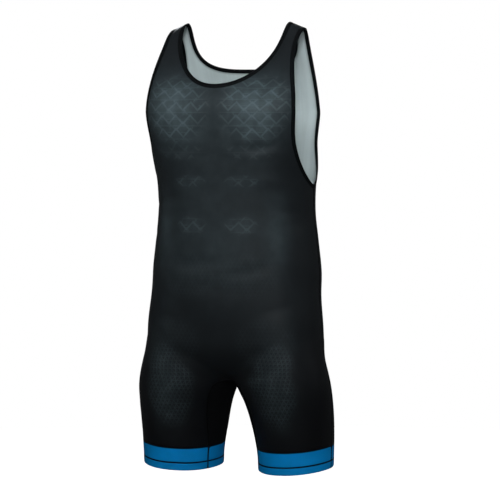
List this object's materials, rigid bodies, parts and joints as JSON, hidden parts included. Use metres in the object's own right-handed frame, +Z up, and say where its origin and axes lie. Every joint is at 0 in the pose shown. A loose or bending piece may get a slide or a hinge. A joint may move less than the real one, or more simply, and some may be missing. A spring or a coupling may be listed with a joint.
{
  "type": "wrestling singlet",
  "caption": "Sleeveless close-fitting sports suit of stretch cloth in its worn, hollow form, with a scoop neck, deep armholes, bound edges and thigh-length legs with contrast bands",
  "frame": {"origin": "midway between the tops of the two shoulder straps at their neck side, on the line over the shoulders, where the wearer holds the garment up", "axes": "+Z up, the front faces -Y, the wearer's left is +X"},
  "size_m": [0.3868, 0.2386, 0.8629],
  "materials": {
    "body_cloth": "smooth charcoal-black polyester and elastane knit with a soft satin sheen and a faint tonal triangle print",
    "gusset_cloth": "plain matte black stretch knit",
    "band_cloth": "smooth blue stretch knit, its hem turned up and stitched",
    "binding_tape": "matte black folded elastic tape"
  },
  "bodies": {
    "root": {"front_panel": "body_cloth", "back_panel": "body_cloth", "crotch_gusset": "gusset_cloth", "leg_band_left": "band_cloth", "leg_band_right": "band_cloth", "neck_binding": "binding_tape", "armhole_binding_left": "binding_tape", "armhole_binding_right": "binding_tape"}
  },
  "joints": []
}
